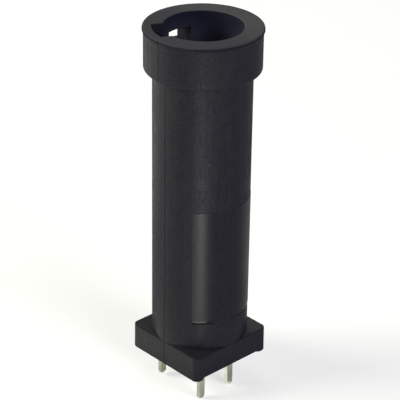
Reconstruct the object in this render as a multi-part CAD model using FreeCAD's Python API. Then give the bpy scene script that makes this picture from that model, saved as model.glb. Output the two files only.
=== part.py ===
# Upright fuse holder for a printed circuit board, for a 6.3 x 32 mm fuse in a bayonet carrier.
# Millimetres. The origin is on the tube's axis at the face that sits on the board, and +Z
# points out of the mouth. The side terminal stands at +X and the locking window is at -X.
import FreeCAD, Part

import math
import os

from FreeCAD import Vector

ORIGIN = Vector(0, 0, 0)
UP = Vector(0, 0, 1)

# Board seat and base plate
RAIL_HEIGHT = 0.35
RAIL_WIDTH = 1.75
PLATE_THICKNESS = 3.2
PLATE_MARGIN = 0.03
PLATE_DRAFT = 0.02
PLATE_CORNER_RADIUS = 0.8
PLATE_EDGE_RADIUS = 0.12

# Tube and collar
HEIGHT = 46.8
BORE_DIAMETER = 10.1
TUBE_WALL = 1.325
COLLAR_HEIGHT = 5.6
COLLAR_WALL = 1.0
COLLAR_EDGE_RADIUS = 0.3
LIP_OVERHANG = 0.16
LIP_HEIGHT = 0.4
LIP_SLOPE_HEIGHT = 0.22
LIP_EDGE_RADIUS = 0.28
BORE_MOUTH_CHAMFER = 0.15
PARTING_WIDTH = 0.14
PARTING_DEPTH = 0.14

# Label panel, a smooth pad around the +X side that stands slightly proud over a groove
PANEL_ABOVE_PLATE = 4.1
PANEL_HEIGHT = 16.2
PANEL_HALF_ANGLE = 53.0
PANEL_PROUD = 0.04
PANEL_GROOVE_HEIGHT = 0.2
PANEL_GROOVE_DEPTH = 0.18

# Pocket for the fuse's lower cap
FUSE_DIAMETER = 6.35
FUSE_CLEARANCE = 0.275
POCKET_DEPTH = 3.5
POCKET_FLOOR_Z = 11.5

# Bayonet: entry notch, turning track and locking window
NOTCH_WIDTH = 4.4
NOTCH_ANGLE = -115.5
LOCK_ANGLE = -180.0
BAYONET_DEPTH = 1.45
TRACK_FLOOR_BELOW_RIM = 4.95
TRACK_ROOF_BELOW_RIM = 3.0
WINDOW_ROOF_BELOW_RIM = 2.1
WINDOW_HEIGHT = 2.05
WINDOW_WIDTH = 3.5
WINDOW_MIDDLE_Y = 0.4

# Stamped terminals
SHEET = 0.5
BEND_RADIUS = 0.3
PIN_WIDTH = 0.95
PIN_LENGTH = 3.1
END_PIN_LENGTH = 2.75
PIN_TIP_TAPER = 0.12
PIN_PITCH_X = 7.62
PIN_PITCH_Y = 5.08
PIN_EDGE_DISTANCE = 0.6
SLOT_CLEARANCE = 0.03

# Side terminal
BAR_INSET = 0.6
BAR_HEIGHT = 1.3
BAR_END_MARGIN = 0.5
STRIP_WIDTH = 3.0
STRIP_BELOW_COLLAR = 1.1
STRIP_BORE_GAP = 0.02
JOGGLE_HEIGHT = 0.9
TONGUE_WIDTH = 1.7
TONGUE_SIDE_GAP = 0.15
TONGUE_TIP_INSET = 1.7
TONGUE_LENGTH = 7.6
TONGUE_CROWN_BELOW_TIP = 2.4
TONGUE_CROWN_LENGTH = 0.9
TONGUE_REACH = 0.2
TONGUE_BEND_RADIUS = 1.5

# End terminal, staked under the spring well
RECESS_DEPTH = 1.4
RECESS_CLEARANCE = 0.1
SEAT_LEDGE = 0.3
ARM_HALF_WIDTH = 1.1
ARM_HIGH_X = 1.9
STAKE_DIAMETER = 1.1
STAKE_HOLE_CLEARANCE = 0.05
STAKE_HEAD_DIAMETER = 1.9
STAKE_HEAD_HEIGHT = 0.35
STAKE_FROM_SEAT = 0.9
STAKE_LOW_X = 0.75
STAKE_INSIDE_PIN_ROW = 0.58

# Sprung end contact
WEB_THICKNESS = 1.2
NOSE_DIAMETER = 5.0
NOSE_CLEARANCE = 0.06
NOSE_PROUD = 3.2
NOSE_EDGE_RADIUS = 0.5
CUP_WALL = 0.3
FLANGE_WIDTH = 0.6
FLANGE_WELL_GAP = 0.2
FLANGE_STOP_GAP = 0.05

# Coil spring
WIRE_DIAMETER = 0.45
SPRING_CUP_GAP = 0.15
SPRING_END_GAP = 0.02
SPRING_TURNS = 9
SPRING_GRIND = 0.12

# Overrun of cutting shapes past the faces they open
OVERCUT = 1.0

TUBE_DIAMETER = BORE_DIAMETER + 2 * TUBE_WALL
BAYONET_DIAMETER = BORE_DIAMETER + 2 * BAYONET_DEPTH
COLLAR_DIAMETER = BAYONET_DIAMETER + 2 * COLLAR_WALL
COLLAR_BOTTOM_Z = HEIGHT - COLLAR_HEIGHT
PLATE_WIDTH = TUBE_DIAMETER + 2 * PLATE_MARGIN
PLATE_TOP_Z = RAIL_HEIGHT + PLATE_THICKNESS
PANEL_BOTTOM_Z = PLATE_TOP_Z + PANEL_ABOVE_PLATE
POCKET_DIAMETER = FUSE_DIAMETER + 2 * FUSE_CLEARANCE
POCKET_RIM_Z = POCKET_FLOOR_Z + POCKET_DEPTH + (BORE_DIAMETER - POCKET_DIAMETER) / 2
WELL_DIAMETER = NOSE_DIAMETER + 2 * (FLANGE_WIDTH + FLANGE_WELL_GAP)
WELL_ROOF_Z = POCKET_FLOOR_Z - WEB_THICKNESS
SEAT_DIAMETER = WELL_DIAMETER + 2 * SEAT_LEDGE
SEAT_Z = RAIL_HEIGHT + RECESS_DEPTH
END_PLATE_BOTTOM_Z = SEAT_Z - SHEET
STAKE_REACH = SEAT_DIAMETER / 2 + STAKE_FROM_SEAT
SIDE_PIN_X = PLATE_WIDTH / 2 - PIN_EDGE_DISTANCE
SIDE_SHEET_LOW_X = SIDE_PIN_X - SHEET / 2
END_PIN_X = SIDE_PIN_X - PIN_PITCH_X
STRIP_LOW_X = BORE_DIAMETER / 2 + STRIP_BORE_GAP
STRIP_TOP_Z = COLLAR_BOTTOM_Z - STRIP_BELOW_COLLAR
BAR_BOTTOM_Z = RAIL_HEIGHT + BAR_INSET
BAR_TOP_Z = BAR_BOTTOM_Z + BAR_HEIGHT
BAR_LOW_Y = -PIN_PITCH_Y - BAR_END_MARGIN
BAR_HIGH_Y = STRIP_WIDTH / 2
TONGUE_TIP_Z = STRIP_TOP_Z - TONGUE_TIP_INSET
TONGUE_ROOT_Z = TONGUE_TIP_Z - TONGUE_LENGTH
TONGUE_CROWN_Z = TONGUE_TIP_Z - TONGUE_CROWN_BELOW_TIP


def box(low_x, high_x, low_y, high_y, low_z, high_z):
    """Return a box between two corners."""
    size = (high_x - low_x, high_y - low_y, high_z - low_z)
    return Part.makeBox(*size, Vector(low_x, low_y, low_z))


def cylinder(diameter, low_z, high_z, x=0.0, y=0.0):
    """Return an upright cylinder."""
    return Part.makeCylinder(diameter / 2, high_z - low_z, Vector(x, y, low_z), UP)


def turned(outline):
    """Revolve a closed outline of (radius, z) points about the axis."""
    points = [Vector(radius, 0, z) for radius, z in outline]
    face = Part.Face(Part.makePolygon(points + points[:1]))
    return face.revolve(ORIGIN, UP, 360)


def sector(inner_diameter, outer_diameter, low_z, high_z, start_angle, end_angle):
    """Return a part of a ring between two angles in degrees."""
    inner, outer = inner_diameter / 2, outer_diameter / 2
    corners = [(inner, low_z), (outer, low_z), (outer, high_z), (inner, high_z)]
    points = [Vector(radius, 0, z) for radius, z in corners]
    face = Part.Face(Part.makePolygon(points + points[:1]))
    ring = face.revolve(ORIGIN, UP, end_angle - start_angle)
    return ring.rotate(ORIGIN, UP, start_angle)


def circles_at(shape, diameter, z):
    """Return the full circular edges of one diameter at one height."""
    found = []
    for edge in shape.Edges:
        curve = edge.Curve
        if not isinstance(curve, Part.Circle):
            continue
        same_size = abs(curve.Radius * 2 - diameter) < 1e-6
        if same_size and abs(curve.Center.z - z) < 1e-6:
            found.append(edge)
    return found


def rounded_square(width, corner_radius, z):
    """Return the closed wire of a square with round corners."""
    half = width / 2
    square = box(-half, half, -half, half, z, z + OVERCUT)
    uprights = [edge for edge in square.Edges if abs(edge.tangentAt(0).z) > 0.5]
    rounded = square.makeFillet(corner_radius, uprights)
    bottom = min(rounded.Faces, key=lambda face: face.CenterOfMass.z)
    return bottom.OuterWire


def rounded_path(points, radius):
    """Return a wire through (x, z) points whose inner corners are tangent arcs."""
    corners = [Vector(x, 0, z) for x, z in points]
    edges = []
    start = corners[0]
    for before, corner, after in zip(corners, corners[1:], corners[2:]):
        towards = (before - corner).normalize()
        onwards = (after - corner).normalize()
        half_angle = towards.getAngle(onwards) / 2
        setback = radius / math.tan(half_angle)
        bisector = (towards + onwards).normalize()
        centre = corner + bisector * (radius / math.sin(half_angle))
        first = corner + towards * setback
        last = corner + onwards * setback
        edges.append(Part.makeLine(start, first))
        edges.append(Part.Arc(first, centre - bisector * radius, last).toShape())
        start = last
    edges.append(Part.makeLine(start, corners[-1]))
    return Part.Wire(edges)


def bent_sheet(points, radius, low_y, high_y):
    """Bend a strip of sheet along (x, z) points, which are its middle line."""
    middle = rounded_path(points, radius)
    sides = [middle.makeOffset2D(shift, openResult=True) for shift in (SHEET / 2, -SHEET / 2)]
    ends = []
    for index in (0, -1):
        first, last = (ordered_ends(side)[index] for side in sides)
        ends.append(Part.makeLine(first, last))
    edges = sides[0].Edges + sides[1].Edges + ends
    face = Part.Face(Part.Wire(Part.__sortEdges__(edges)))
    face.translate(Vector(0, low_y, 0))
    return face.extrude(Vector(0, high_y - low_y, 0))


def ordered_ends(wire):
    """Return the two end points of an open wire, the lower one first."""
    points = wire.OrderedVertexes
    return sorted((points[0].Point, points[-1].Point), key=lambda point: point.z)


def pin_blade(middle_x, middle_y, top_z, length):
    """Return a flat pin with a round, thinned tip, its thickness along X."""
    half_width, half_sheet = PIN_WIDTH / 2, SHEET / 2
    tip_z = -length
    shoulder_z = tip_z + half_width
    face_points = [
        Vector(0, middle_y - half_width, top_z),
        Vector(0, middle_y - half_width, shoulder_z),
        Vector(0, middle_y, tip_z),
        Vector(0, middle_y + half_width, shoulder_z),
        Vector(0, middle_y + half_width, top_z),
    ]
    sides = [
        Part.makeLine(face_points[0], face_points[1]),
        Part.Arc(face_points[1], face_points[2], face_points[3]).toShape(),
        Part.makeLine(face_points[3], face_points[4]),
        Part.makeLine(face_points[4], face_points[0]),
    ]
    blank = Part.Face(Part.Wire(sides)).extrude(Vector(SHEET, 0, 0))
    blank.translate(Vector(middle_x - half_sheet, 0, 0))
    thin = half_sheet - PIN_TIP_TAPER
    edge_points = [
        (middle_x - half_sheet, top_z),
        (middle_x - half_sheet, shoulder_z),
        (middle_x - thin, tip_z),
        (middle_x + thin, tip_z),
        (middle_x + half_sheet, shoulder_z),
        (middle_x + half_sheet, top_z),
    ]
    outline = [Vector(x, middle_y - half_width, z) for x, z in edge_points]
    wedge = Part.Face(Part.makePolygon(outline + outline[:1])).extrude(Vector(0, PIN_WIDTH, 0))
    return blank.common(wedge)


def outer_tube():
    """Return the solid outside of the tube, collar and lip."""
    tube = TUBE_DIAMETER / 2
    collar = COLLAR_DIAMETER / 2
    lip = collar + LIP_OVERHANG
    lip_bottom = HEIGHT - LIP_HEIGHT
    shape = turned([
        (0, RAIL_HEIGHT),
        (tube, RAIL_HEIGHT),
        (tube, COLLAR_BOTTOM_Z),
        (collar, COLLAR_BOTTOM_Z),
        (collar, lip_bottom - LIP_SLOPE_HEIGHT),
        (lip, lip_bottom),
        (lip, HEIGHT),
        (0, HEIGHT),
    ])
    shape = shape.makeFillet(LIP_EDGE_RADIUS, circles_at(shape, lip * 2, HEIGHT))
    return shape.makeFillet(COLLAR_EDGE_RADIUS, circles_at(shape, COLLAR_DIAMETER, COLLAR_BOTTOM_Z))


def base_plate():
    """Return the drafted square plate."""
    top_width = PLATE_WIDTH - 2 * PLATE_DRAFT
    wires = [
        rounded_square(PLATE_WIDTH, PLATE_CORNER_RADIUS, RAIL_HEIGHT),
        rounded_square(top_width, PLATE_CORNER_RADIUS, PLATE_TOP_Z),
    ]
    plate = Part.makeLoft(wires, True, True)
    top_face = max(plate.Faces, key=lambda face: face.CenterOfMass.z)
    return plate.makeFillet(PLATE_EDGE_RADIUS, top_face.Edges)


def rails():
    """Return the two rails under the plate that sit on the board, their ends round."""
    half = PLATE_WIDTH / 2
    shapes = []
    for low_y in (-half, half - RAIL_WIDTH):
        rail = box(-half, half, low_y, low_y + RAIL_WIDTH, 0, RAIL_HEIGHT)
        uprights = [edge for edge in rail.Edges if abs(edge.tangentAt(0).z) > 0.5]
        rail = rail.makeFillet(PLATE_CORNER_RADIUS, uprights)
        bottom_face = min(rail.Faces, key=lambda face: face.CenterOfMass.z)
        shapes.append(rail.makeFillet(PLATE_EDGE_RADIUS, bottom_face.Edges))
    return shapes


def inner_bore():
    """Return the space of the bore, the fuse pocket, the guide hole and the spring well."""
    bore = BORE_DIAMETER / 2
    pocket = POCKET_DIAMETER / 2
    guide = NOSE_DIAMETER / 2 + NOSE_CLEARANCE
    well = WELL_DIAMETER / 2
    return turned([
        (0, 0),
        (well, 0),
        (well, WELL_ROOF_Z),
        (guide, WELL_ROOF_Z),
        (guide, POCKET_FLOOR_Z),
        (pocket, POCKET_FLOOR_Z),
        (pocket, POCKET_FLOOR_Z + POCKET_DEPTH),
        (bore, POCKET_RIM_Z),
        (bore, HEIGHT - BORE_MOUTH_CHAMFER),
        (bore + BORE_MOUTH_CHAMFER, HEIGHT),
        (bore + BORE_MOUTH_CHAMFER, HEIGHT + OVERCUT),
        (0, HEIGHT + OVERCUT),
    ])


def bayonet():
    """Return the space of the entry notch, the turning track and the locking window."""
    floor_z = HEIGHT - TRACK_FLOOR_BELOW_RIM
    track_roof_z = HEIGHT - TRACK_ROOF_BELOW_RIM
    roof_z = HEIGHT - WINDOW_ROOF_BELOW_RIM
    sill_z = roof_z - WINDOW_HEIGHT
    low_y = WINDOW_MIDDLE_Y - WINDOW_WIDTH / 2
    high_y = low_y + WINDOW_WIDTH
    inside = BORE_DIAMETER / 2 - OVERCUT
    reach = COLLAR_DIAMETER
    depth = cylinder(BAYONET_DIAMETER, floor_z, HEIGHT + OVERCUT)
    notch = box(inside, reach, -NOTCH_WIDTH / 2, NOTCH_WIDTH / 2, floor_z, HEIGHT + OVERCUT)
    notch.rotate(ORIGIN, UP, NOTCH_ANGLE)
    pocket = box(-reach, -inside, low_y, high_y, floor_z, roof_z)
    window = box(-reach, -inside, low_y, high_y, sill_z, roof_z)
    track = sector(inside * 2, BAYONET_DIAMETER, floor_z, track_roof_z, LOCK_ANGLE, NOTCH_ANGLE)
    return notch.common(depth).fuse([pocket.common(depth), track, window])


def side_terminal_slot():
    """Return the slot and groove that take the side terminal, pushed in from below."""
    gap = SLOT_CLEARANCE
    bar_slot = box(
        SIDE_SHEET_LOW_X - gap, SIDE_SHEET_LOW_X + SHEET + gap,
        BAR_LOW_Y - gap, BAR_HIGH_Y + gap,
        -OVERCUT, BAR_TOP_Z,
    )
    half = STRIP_WIDTH / 2 + gap
    joggle = box(
        STRIP_LOW_X - gap, SIDE_SHEET_LOW_X + SHEET + gap,
        -half, half,
        BAR_BOTTOM_Z, BAR_TOP_Z + JOGGLE_HEIGHT,
    )
    groove = box(
        STRIP_LOW_X - gap, STRIP_LOW_X + SHEET + gap,
        -half, half,
        BAR_BOTTOM_Z, STRIP_TOP_Z + gap,
    )
    opening = box(POCKET_DIAMETER / 2, STRIP_LOW_X, -half, half, POCKET_RIM_Z, STRIP_TOP_Z + gap)
    return bar_slot.fuse([joggle, groove, opening])


def end_plate_outline(grow):
    """Return the pieces of the end terminal's flat outline, grown sideways by a clearance."""
    low_z, high_z = END_PLATE_BOTTOM_Z, SEAT_Z
    bend_x = END_PIN_X + SHEET / 2 + BEND_RADIUS
    leg_end = -PIN_PITCH_Y - PIN_WIDTH / 2
    seat = cylinder(SEAT_DIAMETER + 2 * grow, low_z, high_z)
    far_arm = box(-ARM_HALF_WIDTH - grow, ARM_HALF_WIDTH + grow, 0, STAKE_REACH, low_z, high_z)
    far_end = cylinder(2 * (ARM_HALF_WIDTH + grow), low_z, high_z, 0, STAKE_REACH)
    pin_arm = box(bend_x - grow, ARM_HIGH_X + grow, leg_end - grow, 0, low_z, high_z)
    return seat.fuse([far_arm, far_end, pin_arm]).removeSplitter()


def stake_places():
    """Return the (x, y) places of the two moulded stakes."""
    return [(0.0, STAKE_REACH), (STAKE_LOW_X, STAKE_INSIDE_PIN_ROW - PIN_PITCH_Y)]


def end_terminal_recess():
    """Return the space under the plate that takes the end terminal and its leg."""
    recess = end_plate_outline(RECESS_CLEARANCE)
    leg = box(
        END_PIN_X - SHEET / 2 - RECESS_CLEARANCE, 0,
        -PIN_PITCH_Y - PIN_WIDTH / 2 - RECESS_CLEARANCE,
        -PIN_PITCH_Y + PIN_WIDTH / 2 + RECESS_CLEARANCE,
        -OVERCUT, SEAT_Z,
    )
    underside = min(recess.Faces, key=lambda face: face.CenterOfMass.z)
    below = underside.extrude(Vector(0, 0, -END_PLATE_BOTTOM_Z))
    return recess.fuse([below, leg])


def stakes():
    """Return the two moulded stakes with their flattened heads."""
    shapes = []
    for x, y in stake_places():
        shank = cylinder(STAKE_DIAMETER, END_PLATE_BOTTOM_Z, SEAT_Z, x, y)
        head_bottom = END_PLATE_BOTTOM_Z - STAKE_HEAD_HEIGHT
        head = cylinder(STAKE_HEAD_DIAMETER, head_bottom, END_PLATE_BOTTOM_Z, x, y)
        rim = [edge for edge in head.Edges if edge.BoundBox.ZMax < head_bottom + 1e-6]
        head = head.makeFillet(STAKE_HEAD_HEIGHT / 2, rim)
        shapes.append(shank.fuse(head))
    return shapes


def parting_grooves():
    """Return the thin grooves where the two mould halves met, at +Y and -Y."""
    half = PARTING_WIDTH / 2
    stages = [
        (PLATE_WIDTH / 2 - PLATE_DRAFT / 2, 0, PLATE_TOP_Z),
        (TUBE_DIAMETER / 2, PLATE_TOP_Z, COLLAR_BOTTOM_Z),
        (COLLAR_DIAMETER / 2, COLLAR_BOTTOM_Z, HEIGHT - LIP_HEIGHT),
        (COLLAR_DIAMETER / 2 + LIP_OVERHANG, HEIGHT - LIP_HEIGHT, HEIGHT),
    ]
    grooves = []
    for radius, low_z, high_z in stages:
        inner = radius - PARTING_DEPTH
        outer = radius + OVERCUT
        grooves.append(box(-half, half, inner, outer, low_z, high_z))
        grooves.append(box(-half, half, -outer, -inner, low_z, high_z))
    return grooves


def label_panel():
    """Return the smooth pad around the +X side of the tube."""
    inner_diameter = TUBE_DIAMETER - TUBE_WALL
    outer_diameter = TUBE_DIAMETER + 2 * PANEL_PROUD
    angle = PANEL_HALF_ANGLE
    top_z = PANEL_BOTTOM_Z + PANEL_HEIGHT
    return sector(inner_diameter, outer_diameter, PANEL_BOTTOM_Z, top_z, -angle, angle)


def panel_groove():
    """Return the fine groove along the panel's lower edge."""
    floor_diameter = TUBE_DIAMETER - 2 * PANEL_GROOVE_DEPTH
    outer_diameter = TUBE_DIAMETER + OVERCUT
    angle = PANEL_HALF_ANGLE
    low_z = PANEL_BOTTOM_Z - PANEL_GROOVE_HEIGHT
    return sector(floor_diameter, outer_diameter, low_z, PANEL_BOTTOM_Z, -angle, angle)


def make_body():
    """Return the moulded body."""
    shape = outer_tube().fuse([base_plate(), label_panel()] + rails())
    shape = shape.cut(panel_groove())
    shape = shape.cut(parting_grooves())
    shape = shape.cut(inner_bore())
    shape = shape.cut(bayonet())
    shape = shape.cut(side_terminal_slot())
    shape = shape.cut(end_terminal_recess())
    return shape.fuse(stakes()).removeSplitter()


def make_side_terminal():
    """Return the stamped terminal with two pins, an upright strip and a sprung tongue."""
    low_x, high_x = SIDE_SHEET_LOW_X, SIDE_SHEET_LOW_X + SHEET
    bar = box(low_x, high_x, BAR_LOW_Y, BAR_HIGH_Y, BAR_BOTTOM_Z, BAR_TOP_Z)
    pins = [pin_blade(SIDE_PIN_X, y, BAR_TOP_Z, PIN_LENGTH) for y in (-PIN_PITCH_Y, 0.0)]
    strip_x = STRIP_LOW_X + SHEET / 2
    half = STRIP_WIDTH / 2
    upright = bent_sheet(
        [
            (SIDE_PIN_X, BAR_BOTTOM_Z + SHEET),
            (SIDE_PIN_X, BAR_TOP_Z),
            (strip_x, BAR_TOP_Z + JOGGLE_HEIGHT / 2),
            (strip_x, STRIP_TOP_Z),
        ],
        BEND_RADIUS / 2, -half, half,
    )
    slit = TONGUE_WIDTH / 2 + TONGUE_SIDE_GAP
    lance = box(low_x - 2 * SHEET, high_x, -slit, slit, TONGUE_ROOT_Z, TONGUE_TIP_Z + TONGUE_SIDE_GAP)
    crown_x = strip_x - TONGUE_REACH
    tongue = bent_sheet(
        [
            (strip_x, TONGUE_ROOT_Z - SHEET),
            (strip_x, TONGUE_ROOT_Z + SHEET),
            (crown_x, TONGUE_CROWN_Z - TONGUE_CROWN_LENGTH / 2),
            (crown_x, TONGUE_CROWN_Z + TONGUE_CROWN_LENGTH / 2),
            (strip_x - TONGUE_REACH / 2, TONGUE_TIP_Z),
        ],
        TONGUE_BEND_RADIUS, -TONGUE_WIDTH / 2, TONGUE_WIDTH / 2,
    )
    return upright.cut(lance).fuse([bar, tongue] + pins).removeSplitter()


def make_end_terminal():
    """Return the stamped terminal under the spring, with its one pin."""
    shape = end_plate_outline(0.0)
    for x, y in stake_places():
        hole = STAKE_DIAMETER + 2 * STAKE_HOLE_CLEARANCE
        shape = shape.cut(cylinder(hole, END_PLATE_BOTTOM_Z - OVERCUT, SEAT_Z + OVERCUT, x, y))
    plate_mid_z = SEAT_Z - SHEET / 2
    low_y = -PIN_PITCH_Y - PIN_WIDTH / 2
    bend = bent_sheet(
        [
            (END_PIN_X + SHEET + 2 * BEND_RADIUS, plate_mid_z),
            (END_PIN_X, plate_mid_z),
            (END_PIN_X, 0.0),
        ],
        BEND_RADIUS + SHEET / 2, low_y, low_y + PIN_WIDTH,
    )
    pin = pin_blade(END_PIN_X, -PIN_PITCH_Y, 0.0, END_PIN_LENGTH)
    return shape.fuse([bend, pin]).removeSplitter()


def cup_levels():
    """Return the heights of the cup's nose, the flange's top and the flange's bottom."""
    nose_z = POCKET_FLOOR_Z + NOSE_PROUD
    flange_top_z = WELL_ROOF_Z - FLANGE_STOP_GAP
    return nose_z, flange_top_z, flange_top_z - CUP_WALL


def make_contact_cup():
    """Return the drawn cup with its flange, the nose upwards."""
    nose_z, flange_top_z, flange_bottom_z = cup_levels()
    outer = NOSE_DIAMETER / 2
    inner = outer - CUP_WALL
    flange = outer + FLANGE_WIDTH
    shape = turned([
        (0, nose_z - CUP_WALL),
        (inner, nose_z - CUP_WALL),
        (inner, flange_bottom_z),
        (flange, flange_bottom_z),
        (flange, flange_top_z),
        (outer, flange_top_z),
        (outer, nose_z),
        (0, nose_z),
    ])
    shape = shape.makeFillet(NOSE_EDGE_RADIUS, circles_at(shape, NOSE_DIAMETER, nose_z))
    inside = circles_at(shape, inner * 2, nose_z - CUP_WALL)
    return shape.makeFillet(NOSE_EDGE_RADIUS - CUP_WALL, inside)


def make_contact_spring():
    """Return the coil spring between the end terminal and the cup, its ends ground flat."""
    nose_z = cup_levels()[0]
    low_z = SEAT_Z + SPRING_END_GAP
    high_z = nose_z - CUP_WALL - SPRING_END_GAP
    wire = WIRE_DIAMETER / 2
    coil = NOSE_DIAMETER / 2 - CUP_WALL - SPRING_CUP_GAP - wire
    start_z = low_z + wire - SPRING_GRIND
    length = high_z - low_z - 2 * (wire - SPRING_GRIND)
    helix = Part.makeHelix(length / SPRING_TURNS, length, coil)
    helix.translate(Vector(0, 0, start_z))
    first = helix.Edges[0]
    section = Part.Wire(Part.makeCircle(wire, first.valueAt(first.FirstParameter),
                                        first.tangentAt(first.FirstParameter)))
    coiled = Part.Wire(helix.Edges).makePipeShell([section], True, True)
    return coiled.common(cylinder(4 * coil, low_z, high_z))


NODES = {
    "body": make_body,
    "side_terminal": make_side_terminal,
    "end_terminal": make_end_terminal,
    "contact_cup": make_contact_cup,
    "contact_spring": make_contact_spring,
}


def main():
    """Build every node, check it and write its STEP file."""
    os.makedirs("parts", exist_ok=True)
    for name, make in NODES.items():
        shape = make()
        if not shape.isValid() or len(shape.Solids) != 1:
            raise RuntimeError(f"{name} is not one valid solid")
        shape.Solids[0].exportStep(f"parts/{name}.step")
        print(f"{name}: {shape.Volume:.2f} cubic millimetres")


main()
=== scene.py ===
"""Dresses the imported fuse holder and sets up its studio.

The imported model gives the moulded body, the two stamped terminals and the contact cup. This
script gives them their finishes, winds the contact spring, adds the small mark that moulding
leaves on the body, and places the floor, the lights and the camera. Lengths are in metres, in
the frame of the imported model: the origin is on the tube's axis at the board's face, and +Z
points out of the mouth.
"""

import logging
import math
from dataclasses import dataclass
from enum import Enum
from typing import Any

import bmesh
import bpy
from mathutils import Matrix, Quaternion, Vector


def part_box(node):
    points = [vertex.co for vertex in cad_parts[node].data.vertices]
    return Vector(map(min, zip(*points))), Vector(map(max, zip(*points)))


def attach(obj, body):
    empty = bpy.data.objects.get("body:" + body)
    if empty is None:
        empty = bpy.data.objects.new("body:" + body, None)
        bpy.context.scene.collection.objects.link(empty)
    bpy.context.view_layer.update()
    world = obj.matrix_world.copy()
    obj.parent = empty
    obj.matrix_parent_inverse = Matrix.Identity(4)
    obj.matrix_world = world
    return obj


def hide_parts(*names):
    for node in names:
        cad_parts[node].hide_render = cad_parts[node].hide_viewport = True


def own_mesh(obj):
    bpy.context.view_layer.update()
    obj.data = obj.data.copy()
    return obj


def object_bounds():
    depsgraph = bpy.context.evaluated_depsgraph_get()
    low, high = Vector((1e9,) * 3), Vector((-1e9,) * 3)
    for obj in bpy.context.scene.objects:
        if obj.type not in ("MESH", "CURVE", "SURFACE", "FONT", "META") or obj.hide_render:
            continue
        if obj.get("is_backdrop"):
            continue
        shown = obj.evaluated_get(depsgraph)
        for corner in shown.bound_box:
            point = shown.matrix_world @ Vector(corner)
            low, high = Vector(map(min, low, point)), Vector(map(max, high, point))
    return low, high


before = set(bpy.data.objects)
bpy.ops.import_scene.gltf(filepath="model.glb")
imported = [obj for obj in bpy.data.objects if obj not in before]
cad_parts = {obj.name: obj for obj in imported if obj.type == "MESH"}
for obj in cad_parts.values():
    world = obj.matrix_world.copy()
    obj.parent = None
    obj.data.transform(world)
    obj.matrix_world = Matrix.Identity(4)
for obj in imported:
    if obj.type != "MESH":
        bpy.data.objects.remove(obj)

MM = 0.001
UP = Vector((0.0, 0.0, 1.0))
WHITE = (1.0, 1.0, 1.0)

Colour = tuple[float, float, float, float]
Socket = bpy.types.NodeSocket

log = logging.getLogger("fuse_holder")


class Body(Enum):
    """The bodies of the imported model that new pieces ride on."""

    HOLDER = "holder"


class Slot(Enum):
    """Names of the record's material slots, which this script lists but gives to no piece."""

    BODY = "body"
    SPRING = "spring"


class Graph:
    """Adds nodes to one node tree and links them. A mask is a socket that goes from 0 to 1."""

    def __init__(self, tree: bpy.types.NodeTree) -> None:
        """Starts with an empty tree.

        Args:
            tree: The node tree to fill.
        """
        self.tree = tree
        tree.nodes.clear()

    def add(
        self, kind: str, inputs: dict[str | int, Any] | None = None, **settings: Any
    ) -> bpy.types.Node:
        """Adds a node.

        Args:
            kind: The node's type name, without its ShaderNode part.
            inputs: A value or a socket for each input that is set, by name or index.
            **settings: The node's own properties.

        Returns:
            The new node.
        """
        node = self.tree.nodes.new("ShaderNode" + kind)
        for name, value in settings.items():
            setattr(node, name, value)
        for key, value in (inputs or {}).items():
            if isinstance(value, Socket):
                self.tree.links.new(value, node.inputs[key])
            else:
                node.inputs[key].default_value = value
        return node

    def math(self, operation: str, *values: float | Socket) -> Socket:
        """Adds a math node.

        Args:
            operation: The name of the operation.
            *values: A number or a socket for each input.

        Returns:
            The result's socket.
        """
        return self.add("Math", dict(enumerate(values)), operation=operation).outputs[0]

    def ramp(
        self, value: Socket, low: float, high: float, low_out: float = 0.0, high_out: float = 1.0
    ) -> Socket:
        """Maps a range of values to another one, with soft ends.

        Args:
            value: The socket to map.
            low: The value that gives low_out.
            high: The value that gives high_out.
            low_out: The result at and below low.
            high_out: The result at and above high.

        Returns:
            The result's socket.
        """
        inputs = {0: value, 1: low, 2: high, 3: low_out, 4: high_out}
        return self.add("MapRange", inputs, interpolation_type="SMOOTHSTEP").outputs[0]

    def above(self, value: Socket, limit: float) -> Socket:
        """Returns a mask of where a value is above a limit."""
        return self.math("GREATER_THAN", value, limit)

    def below(self, value: Socket, limit: float) -> Socket:
        """Returns a mask of where a value is below a limit."""
        return self.math("LESS_THAN", value, limit)

    def band(self, value: Socket, low: float, high: float) -> Socket:
        """Returns a mask of where a value lies between two limits."""
        return self.overlap(self.above(value, low), self.below(value, high))

    def overlap(self, *masks: Socket) -> Socket:
        """Finds where all of some masks hold.

        Args:
            *masks: The masks.

        Returns:
            Their product.
        """
        product, *others = masks
        for mask in others:
            product = self.math("MULTIPLY", product, mask)
        return product

    def union(self, *masks: Socket) -> Socket:
        """Finds where any of some masks holds.

        Args:
            *masks: The masks.

        Returns:
            The largest of them at each place.
        """
        largest, *others = masks
        for mask in others:
            largest = self.math("MAXIMUM", largest, mask)
        return largest

    def noise(
        self, place: Socket, grain: float, detail: float = 2.0, stretch: Vector | None = None
    ) -> Socket:
        """Adds a noise pattern.

        Args:
            place: The coordinates to read.
            grain: The size of its features.
            detail: How many finer layers it has.
            stretch: How many times longer the features are along each axis.

        Returns:
            The socket of its value, about 0 to 1.
        """
        if stretch is not None:
            shrink = Vector((1 / stretch.x, 1 / stretch.y, 1 / stretch.z))
            place = self.add("Mapping", {"Vector": place, "Scale": shrink}).outputs[0]
        inputs = {"Vector": place, "Scale": 1 / grain, "Detail": detail, "Roughness": 0.55}
        return self.add("TexNoise", inputs, noise_dimensions="3D").outputs["Fac"]

    def blend(self, mask: Socket, first: Any, second: Any) -> Socket:
        """Mixes two colours.

        Args:
            mask: Where the second one shows.
            first: The first colour or socket.
            second: The second colour or socket.

        Returns:
            The mixed colour's socket.
        """
        return self.add("Mix", {0: mask, 6: first, 7: second}, data_type="RGBA").outputs[2]


def colour(red: float, green: float, blue: float) -> Colour:
    """Returns a linear colour with full opacity."""
    return (red, green, blue, 1.0)


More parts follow.
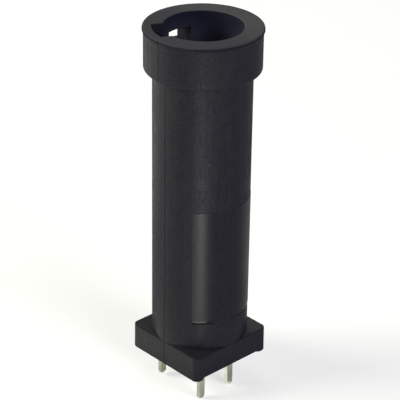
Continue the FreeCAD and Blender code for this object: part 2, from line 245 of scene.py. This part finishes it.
def new_material(name: str) -> tuple[bpy.types.Material, Graph]:
    """Makes an empty node material.

    Args:
        name: Its name.

    Returns:
        The material and its graph.
    """
    material = bpy.data.materials.new(name)
    material.use_nodes = True
    return material, Graph(material.node_tree)


class Zone(Enum):
    """The parts of the moulded body that look different from its plain walls, several through
    painted light or painted shade.
    """

    PANEL = "the polished face of the label panel"
    PANEL_FOOT = "the panel's lower edge, which shines most"
    # Painted light: the rim's top is painted a lighter grey, as light from above makes it.
    RIM = "the rim"
    # Painted light: the rim's +Y side is painted lighter still, as light from the back-right makes
    # it.
    PAINTED_RIM_LIGHT = "the side of the rim that carriers rub grey"
    LEDGE = "the top of the base plate"
    # Painted light: the plate's top, but for its corner at +X and -Y, is painted lighter, as light
    # from above makes it.
    PAINTED_LEDGE_LIGHT = "the plate's top, but for its darkest corner"
    # Painted light: the +Y side of the plate's top is painted lighter still, as light from the
    # back-right makes it.
    PAINTED_LEDGE_SIDE_LIGHT = "the side of the plate's top that holds more dust"
    BORE = "the bore"
    # Painted light: the bore's wall is painted lighter with depth, as fill light where the lamps
    # don't reach.
    PAINTED_BORE_FILL = "the depth at which dust covers the bore's wall"
    # Painted shade: a dark bluish tone on the track's walls, the lip's outer edge and the plate's
    # upper edge.
    PAINTED_SHADE = "the track's walls, the lip's outer edge and the plate's upper edge"
    # Painted light: the parting-line groove and the groove below the panel, all but its -Y end,
    # are painted lighter to lift their shade.
    PAINTED_GROOVE_LIGHT = "the parting line and the end of the groove below the panel"


Zones = dict[Zone, Socket]


@dataclass(frozen=True)
class BodyZones:
    """Where the zones of the moulded body lie.

    A radius is measured from the tube's axis and z from the board. The panel looks to +X, and
    the parting line runs down at -Y and +Y.
    """

    bore_radius: float = 5.12 * MM
    # The painted fill light in the bore grows from the first height down to the second.
    bore_fill_top_z: float = 46.5 * MM
    bore_fill_low_z: float = 41.8 * MM
    tube_radius: float = 6.375 * MM
    track_radius: float = 7.35 * MM
    track_low_z: float = 41.6 * MM
    lip_low_z: float = 46.40 * MM
    lip_high_z: float = 46.72 * MM
    mouth_z: float = 46.7 * MM
    # Where the painted light on the rim's +Y side fades in.
    rim_light_from_y: float = -2.0 * MM
    rim_light_to_y: float = 5.0 * MM
    plate_edge_low_z: float = 3.415 * MM
    plate_edge_high_z: float = 3.545 * MM
    ledge_high_z: float = 3.57 * MM
    # The painted light on the plate's top fades out towards its corner at +X and -Y over this
    # range.
    corner_from: float = -8.5 * MM
    corner_to: float = -4.0 * MM
    # Where the painted light on the +Y side of the plate's top fades in.
    ledge_side_light_from_y: float = 1.0 * MM
    ledge_side_light_to_y: float = 5.5 * MM
    panel_inner_radius: float = 6.395 * MM
    panel_outer_radius: float = 6.435 * MM
    panel_low_z: float = 7.65 * MM
    panel_high_z: float = 23.85 * MM
    panel_foot: float = 0.42 * MM
    groove_radius: float = 6.33 * MM
    groove_low_z: float = 7.44 * MM
    groove_from_y: float = -3.4 * MM
    groove_to_y: float = -1.8 * MM
    seam_radius: float = 6.1 * MM
    seam_half_width: float = 0.08 * MM

    def find(self, graph: Graph, place: Socket) -> Zones:
        """Masks each zone.

        Args:
            graph: The material's graph.
            place: The object's own coordinates.

        Returns:
            The mask of each zone.
        """
        across, along, height = graph.add("SeparateXYZ", {0: place}).outputs
        flat = graph.add("CombineXYZ", {0: across, 1: along}).outputs[0]
        radius = graph.add("VectorMath", {0: flat}, operation="LENGTH").outputs["Value"]
        outside = graph.above(radius, self.tube_radius)

        panel = graph.overlap(
            graph.band(radius, self.panel_inner_radius, self.panel_outer_radius),
            graph.band(height, self.panel_low_z, self.panel_high_z),
        )
        foot_z = self.panel_low_z + self.panel_foot
        foot = graph.ramp(height, foot_z, foot_z - self.panel_foot / 2)
        # The groove below the panel, all but its -Y end, where painted light lifts its shade.
        groove = graph.overlap(
            graph.band(radius, self.seam_radius, self.groove_radius),
            graph.band(height, self.groove_low_z, self.panel_low_z),
            graph.ramp(along, self.groove_from_y, self.groove_to_y),
        )
        # The parting-line groove, where painted light lifts its shade.
        seam = graph.overlap(
            graph.above(radius, self.seam_radius),
            graph.below(graph.math("ABSOLUTE", across), self.seam_half_width),
        )

        mouth = graph.above(height, self.mouth_z)
        # Ramp of the painted light on the rim's +Y side.
        painted_rim_light = graph.ramp(along, self.rim_light_from_y, self.rim_light_to_y)
        # The track's walls, the lip's outer edge and the plate's upper edge take painted shade.
        track = graph.overlap(
            graph.below(radius, self.track_radius),
            graph.band(height, self.track_low_z, self.mouth_z),
        )
        lip = graph.overlap(
            graph.above(radius, self.track_radius),
            graph.band(height, self.lip_low_z, self.lip_high_z),
        )

        plate_edge = graph.band(height, self.plate_edge_low_z, self.plate_edge_high_z)
        ledge = graph.overlap(
            outside, graph.band(height, self.plate_edge_high_z, self.ledge_high_z)
        )
        from_corner = graph.math("SUBTRACT", along, across)
        # Where the plate's top is painted lighter: all of it but the corner at +X and -Y.
        painted_ledge_light_area = graph.overlap(
            ledge, graph.ramp(from_corner, self.corner_from, self.corner_to)
        )
        # Ramp of the painted light on the +Y side of the plate's top.
        ledge_side_light_ramp = graph.ramp(along, self.ledge_side_light_from_y, self.ledge_side_light_to_y)
        return {
            Zone.PANEL: panel,
            Zone.PANEL_FOOT: graph.overlap(panel, foot),
            Zone.RIM: mouth,
            Zone.PAINTED_RIM_LIGHT: graph.overlap(mouth, painted_rim_light),
            Zone.LEDGE: ledge,
            Zone.PAINTED_LEDGE_LIGHT: painted_ledge_light_area,
            Zone.PAINTED_LEDGE_SIDE_LIGHT: graph.overlap(painted_ledge_light_area, ledge_side_light_ramp),
            Zone.BORE: graph.below(radius, self.bore_radius),
            Zone.PAINTED_BORE_FILL: graph.ramp(height, self.bore_fill_top_z, self.bore_fill_low_z),
            Zone.PAINTED_SHADE: graph.union(track, lip, graph.overlap(outside, plate_edge)),
            Zone.PAINTED_GROOVE_LIGHT: graph.union(seam, groove),
        }


@dataclass(frozen=True)
class Texture:
    """The patterns that the mould leaves in the plastic, each about 0 to 1."""

    grain: Socket
    mottle: Socket
    streak: Socket


@dataclass(frozen=True)
class Patches:
    """How a pattern turns into lighter patches."""

    low: float
    high: float
    most: float
    least: float = 0.0

    def show(self, graph: Graph, pattern: Socket) -> Socket:
        """Returns the mask of the patches."""
        return graph.ramp(pattern, self.low, self.high, self.least, self.most)


@dataclass(frozen=True)
class MouldedPlastic:
    """Matte black plastic from a spark-eroded mould, with one polished panel.

    The mould leaves a fine grain, cloudy patches and faint streaks along its draw. Edges are
    rubbed a little lighter, and the bore and the faces that look up are rougher. The label panel
    comes from a polished insert, so it is smoother than the rest. Light and shade are also painted
    into the colour: the rim and most of the plate's top are painted lighter as light from above,
    and more on their +Y sides; the bore's wall is painted lighter with depth as fill light; a dark
    bluish painted shade lies on the track's walls, the lip's outer edge and the plate's upper
    edge;
    and painted light lifts the shade in the parting-line groove and the groove below the panel.
    """

    name: str = "moulded_black"
    base: Colour = colour(0.0038, 0.0040, 0.0108)
    rubbed: Colour = colour(0.0122, 0.0120, 0.0135)
    # Painted shade: the dark bluish tone of the track's walls, the lip's outer edge and the
    # plate's upper edge.
    painted_shade: Colour = colour(0.0080, 0.0080, 0.0150)
    # Painted light: this lighter grey on the rim's top stands in for light from above.
    rim: Colour = colour(0.0350, 0.0352, 0.0420)
    # Painted light: this lighter grey on the rim's +Y side stands in for light from the
    # back-right.
    painted_rim_light: Colour = colour(0.0550, 0.0560, 0.0600)
    # Painted light: this lighter grey on the plate's top stands in for light from above.
    ledge: Colour = colour(0.0190, 0.0190, 0.0230)
    # Painted light: this lighter grey on the plate top's +Y side stands in for light from the
    # back-right.
    painted_ledge_side_light: Colour = colour(0.0620, 0.0620, 0.0600)
    # The bore's tone at the mouth, where the lamps reach, without painted fill light.
    bore_mouth_tone: Colour = colour(0.0045, 0.0045, 0.0165)
    # Painted light: this lighter bluish grey deep in the bore stands in for fill light.
    painted_bore_fill: Colour = colour(0.0420, 0.0420, 0.0760)
    # Painted light: this lighter grey in the grooves lifts their shade.
    painted_groove_light: Colour = colour(0.0450, 0.0450, 0.0480)
    specular: float = 0.25
    roughness: float = 0.515
    panel_roughness: float = 0.36
    panel_foot_roughness: float = 0.19
    sheltered_roughness: float = 1.0
    upward_roughness: float = 0.78
    mottle_spread: float = 0.30
    streak_spread: float = 0.26
    grain_spread: float = 0.30
    panel_spread: float = 0.08
    grain: float = 0.30 * MM
    mottle: float = 1.6 * MM
    streak_width: float = 0.45 * MM
    streak_stretch: float = 60.0
    rubs: Patches = Patches(low=0.35, high=0.70, most=1.0, least=0.3)
    clouds: Patches = Patches(low=0.40, high=0.80, most=0.25)
    streaks: Patches = Patches(low=0.50, high=0.80, most=0.25)
    specks: Patches = Patches(low=0.48, high=0.72, most=0.75)
    relief_depth: float = 0.036 * MM
    streak_relief: float = 0.5
    panel_relief: float = 0.12
    edge_radius: float = 0.05 * MM
    edge_match_from: float = 0.995
    edge_match_to: float = 0.86
    edge_samples: int = 6
    places: BodyZones = BodyZones()

    def build(self) -> bpy.types.Material:
        """Returns the material."""
        material, graph = new_material(self.name)
        place = graph.add("TexCoord").outputs["Object"]
        draw = Vector((1, 1, self.streak_stretch))
        texture = Texture(
            grain=graph.noise(place, self.grain, detail=2.0),
            mottle=graph.noise(place, self.mottle, detail=3.0),
            streak=graph.noise(place, self.streak_width, detail=1.0, stretch=draw),
        )
        zones = self.places.find(graph, place)
        shader = graph.add(
            "BsdfPrincipled",
            {
                "Base Color": self.tint(graph, zones, texture),
                "Roughness": self.dullness(graph, zones, texture),
                "Specular IOR Level": self.specular,
                "Normal": self.relief(graph, zones, texture),
            },
        )
        graph.add("OutputMaterial", {"Surface": shader.outputs[0]})
        return material

    def tint(self, graph: Graph, zones: Zones, texture: Texture) -> Socket:
        """Colours the plastic, with its rubbed edges, its uneven tone, and its painted light and
        shade.

        Args:
            graph: The material's graph.
            zones: The body's zones.
            texture: The surface's patterns.

        Returns:
            The colour's socket.
        """
        rubbing = graph.overlap(self.edge_mask(graph), self.rubs.show(graph, texture.mottle))
        uneven = self.clouds.show(graph, texture.mottle)
        uneven = graph.math("ADD", uneven, self.streaks.show(graph, texture.streak))
        uneven = graph.math("ADD", uneven, self.specks.show(graph, texture.grain))
        # The plate's top: painted light, lighter still on its +Y side.
        ledge = graph.blend(zones[Zone.PAINTED_LEDGE_SIDE_LIGHT], self.ledge, self.painted_ledge_side_light)
        # The bore: painted fill light that grows with depth.
        bore = graph.blend(zones[Zone.PAINTED_BORE_FILL], self.bore_mouth_tone, self.painted_bore_fill)
        layers = [
            (graph.union(rubbing, uneven), self.rubbed),
            # painted shade on the track's walls, the lip's outer edge and the plate's upper edge
            (zones[Zone.PAINTED_SHADE], self.painted_shade),
            # painted light on the rim's top
            (zones[Zone.RIM], self.rim),
            # painted light on the rim's +Y side
            (zones[Zone.PAINTED_RIM_LIGHT], self.painted_rim_light),
            # painted light on the plate's top
            (zones[Zone.PAINTED_LEDGE_LIGHT], ledge),
            # painted light that lifts the shade in the grooves
            (zones[Zone.PAINTED_GROOVE_LIGHT], self.painted_groove_light),
            (zones[Zone.BORE], bore),
        ]
        shown: Any = self.base
        for mask, layer in layers:
            shown = graph.blend(mask, shown, layer)
        return shown

    def dullness(self, graph: Graph, zones: Zones, texture: Texture) -> Socket:
        """Sets how rough each zone is.

        Args:
            graph: The material's graph.
            zones: The body's zones.
            texture: The surface's patterns.

        Returns:
            The roughness socket.
        """
        patterns = [
            (texture.mottle, self.mottle_spread),
            (texture.streak, self.streak_spread),
            (texture.grain, self.grain_spread),
        ]
        moulded: Any = self.roughness - sum(spread for _, spread in patterns) / 2
        for pattern, spread in patterns:
            moulded = graph.math("MULTIPLY_ADD", pattern, spread, moulded)
        face = self.panel_roughness - self.panel_spread / 2
        foot = self.panel_foot_roughness - self.panel_spread / 2
        buffed = graph.ramp(zones[Zone.PANEL_FOOT], 0.0, 1.0, face, foot)
        polished = graph.math("MULTIPLY_ADD", texture.mottle, self.panel_spread, buffed)
        walls = graph.add("Mix", {0: zones[Zone.PANEL], 2: moulded, 3: polished}).outputs[0]
        dull = graph.union(zones[Zone.BORE], zones[Zone.PAINTED_SHADE])
        upward = graph.union(zones[Zone.RIM], zones[Zone.LEDGE])
        return graph.union(
            walls,
            graph.math("MULTIPLY", dull, self.sheltered_roughness),
            graph.math("MULTIPLY", upward, self.upward_roughness),
        )

    def rounded(self, graph: Graph) -> Socket:
        """Returns the normal of the body with its edges rounded."""
        bevel = graph.add("Bevel", {"Radius": self.edge_radius}, samples=self.edge_samples)
        return bevel.outputs[0]

    def edge_mask(self, graph: Graph) -> Socket:
        """Finds the edges, where a rounded normal leaves the true one.

        Args:
            graph: The material's graph.

        Returns:
            A mask that rises from 0 on a face to 1 on an edge.
        """
        normals = {0: self.rounded(graph), 1: graph.add("NewGeometry").outputs["Normal"]}
        match = graph.add("VectorMath", normals, operation="DOT_PRODUCT").outputs["Value"]
        return graph.ramp(match, self.edge_match_from, self.edge_match_to)

    def relief(self, graph: Graph, zones: Zones, texture: Texture) -> Socket:
        """Adds the grain and the draw streaks to the surface.

        Args:
            graph: The material's graph.
            zones: The body's zones.
            texture: The surface's patterns.

        Returns:
            The normal's socket.
        """
        streaks = graph.math("MULTIPLY", texture.streak, self.streak_relief)
        height = graph.math("ADD", texture.grain, streaks)
        kept = graph.ramp(zones[Zone.PANEL], 0.0, 1.0, 1.0, self.panel_relief)
        inputs = {
            "Height": graph.math("MULTIPLY", height, kept),
            "Distance": self.relief_depth,
            "Strength": 1.0,
            "Normal": self.rounded(graph),
        }
        return graph.add("Bump", inputs).outputs[0]


@dataclass(frozen=True)
class PlatedSheet:
    """Dull plating on stamped sheet, with rolling marks along the strip and a grey bloom."""

    name: str
    bright: Colour
    bloom: Colour
    roughness: float
    cloud: float = 0.7 * MM
    blooms: Patches = Patches(low=0.35, high=0.75, most=1.0)
    cloud_spread: float = 0.18
    mark_spread: float = 0.12
    mark_width: float = 0.05 * MM
    mark_stretch: float = 25.0
    mark_depth: float = 0.0015 * MM

    def build(self) -> bpy.types.Material:
        """Returns the material."""
        material, graph = new_material(self.name)
        place = graph.add("TexCoord").outputs["Object"]
        cloud = graph.noise(place, self.cloud, detail=4.0)
        rolled = Vector((1, 1, self.mark_stretch))
        marks = graph.noise(place, self.mark_width, detail=2.0, stretch=rolled)
        rough: Any = self.roughness - (self.cloud_spread + self.mark_spread) / 2
        for pattern, spread in ((cloud, self.cloud_spread), (marks, self.mark_spread)):
            rough = graph.math("MULTIPLY_ADD", pattern, spread, rough)
        relief = {"Height": marks, "Distance": self.mark_depth, "Strength": 1.0}
        shader = graph.add(
            "BsdfPrincipled",
            {
                "Base Color": graph.blend(self.blooms.show(graph, cloud), self.bright, self.bloom),
                "Metallic": 1.0,
                "Roughness": rough,
                "Normal": graph.add("Bump", relief).outputs[0],
            },
        )
        graph.add("OutputMaterial", {"Surface": shader.outputs[0]})
        return material


@dataclass(frozen=True)
class DrawnWire:
    """Bright spring wire with fine lines from the die."""

    name: str = "spring_wire"
    base: Colour = colour(0.62, 0.62, 0.63)
    roughness: float = 0.24
    line_spread: float = 0.14
    line_width: float = 0.03 * MM
    line_stretch: float = 6.0

    def build(self) -> bpy.types.Material:
        """Returns the material."""
        material, graph = new_material(self.name)
        place = graph.add("TexCoord").outputs["Object"]
        drawn = Vector((self.line_stretch, self.line_stretch, 1))
        lines = graph.noise(place, self.line_width, detail=1.0, stretch=drawn)
        least = self.roughness - self.line_spread / 2
        rough = graph.math("MULTIPLY_ADD", lines, self.line_spread, least)
        shader = graph.add(
            "BsdfPrincipled", {"Base Color": self.base, "Metallic": 1.0, "Roughness": rough}
        )
        graph.add("OutputMaterial", {"Surface": shader.outputs[0]})
        return material


def new_piece(
    name: str, mesh: bmesh.types.BMesh, material: bpy.types.Material
) -> bpy.types.Object:
    """Turns a finished bmesh into a piece at the origin.

    Args:
        name: The piece's name.
        mesh: Its geometry, which is freed.
        material: Its finish.

    Returns:
        The piece's object.
    """
    data = bpy.data.meshes.new(name)
    mesh.to_mesh(data)
    mesh.free()
    data.materials.append(material)
    data.shade_smooth()
    piece = bpy.data.objects.new(name, data)
    bpy.context.scene.collection.objects.link(piece)
    return piece


def dress(node: str, material: bpy.types.Material) -> None:
    """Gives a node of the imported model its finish.

    Args:
        node: The node's name.
        material: Its finish.
    """
    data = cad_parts[node].data
    data.materials.clear()
    data.materials.append(material)


@dataclass
class MouldedBody:
    """The tube with its collar, base plate and the small mark of moulding."""

    plastic: MouldedPlastic = MouldedPlastic()
    pip_radius: float = 7.46 * MM
    pip_angle: float = -42.4
    pip_z: float = 41.29 * MM
    pip_size: float = 0.15 * MM
    pip_shape: tuple[float, float, float] = (0.8, 1.0, 0.7)
    pip_rounds: int = 3

    def build(self) -> list[bpy.types.Object]:
        """Dresses the body and adds its mark.

        Returns:
            The new pieces.
        """
        material = self.plastic.build()
        dress("body", material)
        return [self.gate_pip(material)]

    def gate_pip(self, material: bpy.types.Material) -> bpy.types.Object:
        """Makes the pip that is left where the sprue broke off, at the collar's lower edge.

        Args:
            material: The body's finish.

        Returns:
            The piece.
        """
        angle = math.radians(self.pip_angle)
        turn = Matrix.Rotation(angle, 3, "Z")
        place = Vector((math.cos(angle), math.sin(angle), 0)) * self.pip_radius + UP * self.pip_z
        mesh = bmesh.new()
        bmesh.ops.create_icosphere(mesh, subdivisions=self.pip_rounds, radius=self.pip_size)
        bmesh.ops.scale(mesh, vec=self.pip_shape, verts=mesh.verts)
        bmesh.ops.rotate(mesh, cent=(0, 0, 0), matrix=turn, verts=mesh.verts)
        bmesh.ops.translate(mesh, vec=place, verts=mesh.verts)
        piece = new_piece("gate_pip", mesh, material)
        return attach(piece, Body.HOLDER.value)


@dataclass
class Terminals:
    """The two stamped terminals, dull tin over brass."""

    tin: PlatedSheet = PlatedSheet(
        name="tin_plate",
        bright=colour(0.94, 0.95, 0.80),
        bloom=colour(0.74, 0.75, 0.63),
        roughness=0.30,
    )

    def build(self) -> None:
        """Dresses both terminals."""
        material = self.tin.build()
        dress("side_terminal", material)
        dress("end_terminal", material)


@dataclass
class SprungContact:
    """The contact cup and the coil spring that lifts it against the fuse."""

    cup_metal: PlatedSheet = PlatedSheet(
        name="contact_plate",
        bright=colour(0.78, 0.77, 0.73),
        bloom=colour(0.66, 0.65, 0.60),
        roughness=0.3,
        mark_stretch=1.0,
    )
    wire: DrawnWire = DrawnWire()
    wire_radius: float = 0.225 * MM
    coil_radius: float = 1.825 * MM
    ground: float = 0.12 * MM
    dead_turns: float = 1.0
    live_turns: float = 7.0
    dead_pitch: float = 2.04
    wire_sides: int = 14
    turn_steps: int = 36
    travel: float = 3.0 * MM

    def build(self) -> bpy.types.Object:
        """Dresses the cup and winds the spring.

        Returns:
            The spring's piece.
        """
        dress("contact_cup", self.cup_metal.build())
        low, high = (corner.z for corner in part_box("contact_spring"))
        piece = new_piece("contact_coil", self.wind(low, high), self.wire.build())
        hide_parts("contact_spring")
        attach(piece, Body.HOLDER.value)
        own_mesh(piece)
        return piece

    def wind(self, low: float, high: float) -> bmesh.types.BMesh:
        """Winds the coil with closed ends, and grinds the ends flat.

        Args:
            low: The height of its lower end.
            high: The height of its upper end.

        Returns:
            The coil's mesh.
        """
        mesh = bmesh.new()
        bmesh.ops.create_circle(mesh, segments=self.wire_sides, radius=self.wire_radius)
        upright = Matrix.Rotation(math.pi / 2, 3, "X")
        bmesh.ops.rotate(mesh, cent=(0, 0, 0), matrix=upright, verts=mesh.verts)
        start = low + self.wire_radius - self.ground
        bmesh.ops.translate(mesh, vec=(self.coil_radius, 0, start), verts=mesh.verts)
        dead_rise = self.dead_pitch * self.wire_radius * self.dead_turns
        rise = high - low - 2 * (self.wire_radius - self.ground)
        stages = [
            (self.dead_turns, dead_rise),
            (self.live_turns, rise - 2 * dead_rise),
            (self.dead_turns, dead_rise),
        ]
        section = list(mesh.verts) + list(mesh.edges)
        for turns, climb in stages:
            section = self.wind_stage(mesh, section, turns, climb)
        open_edges = [edge for edge in mesh.edges if edge.is_boundary]
        bmesh.ops.holes_fill(mesh, edges=open_edges, sides=self.wire_sides)
        for height, outwards in ((low, -UP), (high, UP)):
            self.grind(mesh, height, outwards)
        bmesh.ops.recalc_face_normals(mesh, faces=mesh.faces)
        return mesh

    def wind_stage(
        self, mesh: bmesh.types.BMesh, section: list[Any], turns: float, climb: float
    ) -> list[Any]:
        """Winds part of the coil at one pitch.

        Args:
            mesh: The coil so far.
            section: The vertices and edges of the wire's open end.
            turns: How many turns to add.
            climb: How far they rise.

        Returns:
            The vertices and edges of the new open end.
        """
        steps = round(turns * self.turn_steps)
        spun = bmesh.ops.spin(
            mesh,
            geom=section,
            cent=(0, 0, 0),
            axis=UP,
            dvec=UP * (climb / steps),
            angle=turns * math.tau,
            steps=steps,
            use_merge=False,
            use_duplicate=False,
        )
        return [item for item in spun["geom_last"] if not isinstance(item, bmesh.types.BMFace)]

    @staticmethod
    def grind(mesh: bmesh.types.BMesh, height: float, outwards: Vector) -> None:
        """Cuts one end flat.

        Args:
            mesh: The coil.
            height: Where the flat is.
            outwards: The direction in which the coil is cut away.
        """
        geometry = list(mesh.verts) + list(mesh.edges) + list(mesh.faces)
        cut = bmesh.ops.bisect_plane(
            mesh, geom=geometry, plane_co=(0, 0, height), plane_no=outwards, clear_outer=True
        )
        rim = [item for item in cut["geom_cut"] if isinstance(item, bmesh.types.BMEdge)]
        bmesh.ops.holes_fill(mesh, edges=rim)


def towards(azimuth: float, elevation: float) -> Vector:
    """Returns the direction of a compass angle and a height angle, in degrees.

    Args:
        azimuth: The angle round the object, 0 at -Y and 90 at +X.
        elevation: The angle above the floor.

    Returns:
        The unit direction from the object.
    """
    turn, rise = math.radians(azimuth), math.radians(elevation)
    flat = math.cos(rise)
    return Vector((math.sin(turn) * flat, -math.cos(turn) * flat, math.sin(rise)))


@dataclass(frozen=True)
class AreaLight:
    """A plain rectangle of light that the camera doesn't see."""

    name: str
    azimuth: float
    level: float
    tint: tuple[float, float, float]

    def add(
        self, width: float, length: float, power: float, place: Vector, turn: Quaternion
    ) -> bpy.types.Object:
        """Adds the light.

        Args:
            width: Its width.
            length: Its length.
            power: Its power in watts.
            place: Its middle.
            turn: Its rotation.

        Returns:
            The light's object.
        """
        data = bpy.data.lights.new(self.name, "AREA")
        data.shape = "RECTANGLE"
        data.size = width
        data.size_y = length
        data.color = self.tint
        data.energy = power
        light = bpy.data.objects.new(self.name, data)
        light.location = place
        light.rotation_mode = "QUATERNION"
        light.rotation_quaternion = turn
        light.visible_camera = False
        bpy.context.scene.collection.objects.link(light)
        return light


@dataclass(frozen=True)
class SoftLight(AreaLight):
    """A soft box that faces the middle of the object."""

    elevation: float
    distance: float = 0.5
    size: float = 0.3

    def place(self, middle: Vector) -> bpy.types.Object:
        """Adds the light.

        Args:
            middle: The point that it faces.

        Returns:
            The light's object.
        """
        back = towards(self.azimuth, self.elevation)
        power = self.level * math.pi**2 * self.distance**2
        turn = (-back).to_track_quat("-Z", "Y")
        return self.add(self.size, self.size, power, middle + back * self.distance, turn)


@dataclass(frozen=True)
class FloorStrip(AreaLight):
    """A strip or patch of light that lies on the floor and runs out from the object.

    The upright walls and the pins mirror it as a soft highlight.
    """

    near: float
    far: float
    width: float
    lift: float = 1.0 * MM

    def place(self, floor: float) -> bpy.types.Object:
        """Adds the light.

        Args:
            floor: The floor's height.

        Returns:
            The light's object.
        """
        length = self.far - self.near
        power = self.level * math.pi * self.width * length
        outwards = towards(self.azimuth, 0.0)
        middle = outwards * (self.near + self.far) / 2 + UP * (floor + self.lift)
        across = outwards.cross(UP)
        facing = Matrix((across, -UP.cross(across), -UP)).transposed()
        return self.add(self.width, length, power, middle, facing.to_quaternion())


@dataclass
class Studio:
    """The pale floor, the bright surroundings and the soft lights."""

    floor_size: float = 4.0
    floor_colour: Colour = colour(0.5, 0.5, 0.5)
    floor_roughness: float = 0.9
    floor_glow: float = 0.56
    ambient: float = 0.03
    middle: Vector = Vector((0.0, 0.0, 22.0 * MM))
    strips: tuple[FloorStrip, ...] = (
        FloorStrip(
            "near_strip", azimuth=47.1, level=4.3, tint=(1.0, 1.0, 0.90),
            near=20.0 * MM, far=45.0 * MM, width=10.0 * MM,
        ),
        FloorStrip(
            "far_strip", azimuth=47.1, level=8.8, tint=(1.0, 1.0, 0.90),
            near=45.0 * MM, far=160.0 * MM, width=15.5 * MM,
        ),
        FloorStrip(
            "left_strip", azimuth=-84.0, level=0.85, tint=(1.0, 0.985, 0.72),
            near=54.0 * MM, far=145.0 * MM, width=36.0 * MM,
        ),
        FloorStrip(
            "seam_strip", azimuth=-30.0, level=0.30, tint=(1.0, 0.985, 0.78),
            near=32.0 * MM, far=72.0 * MM, width=26.0 * MM,
        ),
        FloorStrip(
            "left_patch", azimuth=-15.0, level=0.92, tint=(1.0, 0.98, 0.70),
            near=9.8 * MM, far=15.5 * MM, width=26.0 * MM,
        ),
        FloorStrip(
            "right_patch", azimuth=105.0, level=0.2, tint=WHITE,
            near=9.8 * MM, far=17.0 * MM, width=26.0 * MM,
        ),
        FloorStrip(
            "pin_patch", azimuth=68.0, level=0.52, tint=(1.0, 1.0, 0.92),
            near=1.6 * MM, far=6.8 * MM, width=5.0 * MM, lift=0.1 * MM,
        ),
    )
    lights: tuple[SoftLight, ...] = (
        SoftLight("left_box", azimuth=-43.2, elevation=20.0, level=1.62, tint=(1.0, 1.0, 0.86)),
        SoftLight("right_box", azimuth=91.8, elevation=25.0, level=0.88, tint=(0.96, 0.97, 1.0)),
        SoftLight("rear_box", azimuth=226.8, elevation=40.0, level=0.21, tint=WHITE),
    )

    def build(self) -> None:
        """Adds the floor, the world and the lights."""
        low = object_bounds()[0]
        self.lay_floor(low.z)
        self.light_world()
        for strip in self.strips:
            strip.place(low.z)
        for light in self.lights:
            light.place(self.middle)

    def lay_floor(self, height: float) -> None:
        """Adds the floor, which looks nearly white to the camera and keeps a soft shadow.

        Args:
            height: Its level.
        """
        mesh = bmesh.new()
        bmesh.ops.create_grid(mesh, x_segments=1, y_segments=1, size=self.floor_size / 2)
        bmesh.ops.translate(mesh, vec=(0, 0, height), verts=mesh.verts)
        material, graph = new_material("floor_paper")
        seen = graph.add("LightPath").outputs["Is Camera Ray"]
        shader = graph.add(
            "BsdfPrincipled",
            {
                "Base Color": self.floor_colour,
                "Roughness": self.floor_roughness,
                "Specular IOR Level": 0.0,
                "Emission Color": colour(*WHITE),
                "Emission Strength": graph.math("MULTIPLY", seen, self.floor_glow),
            },
        )
        graph.add("OutputMaterial", {"Surface": shader.outputs[0]})
        new_piece("floor", mesh, material)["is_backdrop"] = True

    def light_world(self) -> None:
        """Makes surroundings that look white and light the object softly."""
        world = bpy.data.worlds.new("studio")
        bpy.context.scene.world = world
        world.use_nodes = True
        graph = Graph(world.node_tree)
        seen = graph.add("LightPath").outputs["Is Camera Ray"]
        strength = graph.ramp(seen, 0.0, 1.0, self.ambient, 1.0)
        sky = graph.add("Background", {"Color": colour(*WHITE), "Strength": strength})
        graph.add("OutputWorld", {"Surface": sky.outputs[0]})


@dataclass
class ProductCamera:
    """The long lens that looks down on the holder."""

    target: Vector = Vector((-0.10 * MM, -0.11 * MM, 22.46 * MM))
    azimuth: float = 46.765
    elevation: float = 27.694
    distance: float = 229.84 * MM
    roll: float = 0.774
    lens: float = 159.48
    sensor: float = 36.0
    nearest: float = 10.0 * MM
    farthest: float = 20.0

    def build(self) -> bpy.types.Object:
        """Returns the camera, set as the scene's own."""
        data = bpy.data.cameras.new("product_camera")
        data.lens = self.lens
        data.sensor_width = self.sensor
        data.clip_start = self.nearest
        data.clip_end = self.farthest
        camera = bpy.data.objects.new("product_camera", data)
        back = towards(self.azimuth, self.elevation)
        camera.location = self.target + back * self.distance
        camera.rotation_mode = "QUATERNION"
        level = (-back).to_track_quat("-Z", "Y")
        camera.rotation_quaternion = level @ Quaternion(UP, math.radians(self.roll))
        bpy.context.scene.collection.objects.link(camera)
        bpy.context.scene.camera = camera
        return camera


def main() -> None:
    """Builds the pieces, the studio and the camera, and reports each one."""
    logging.basicConfig(level=logging.INFO, format="%(name)s: %(message)s")
    scene = bpy.context.scene
    scene.view_settings.view_transform = "Standard"
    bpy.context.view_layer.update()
    ProductCamera().build()
    log.info("camera placed")
    for piece in MouldedBody().build():
        log.info("body piece %s", piece.name)
    Terminals().build()
    log.info("terminals dressed")
    log.info("spring piece %s", SprungContact().build().name)
    Studio().build()
    log.info("studio lit")


if __name__ == "__main__":
    main()
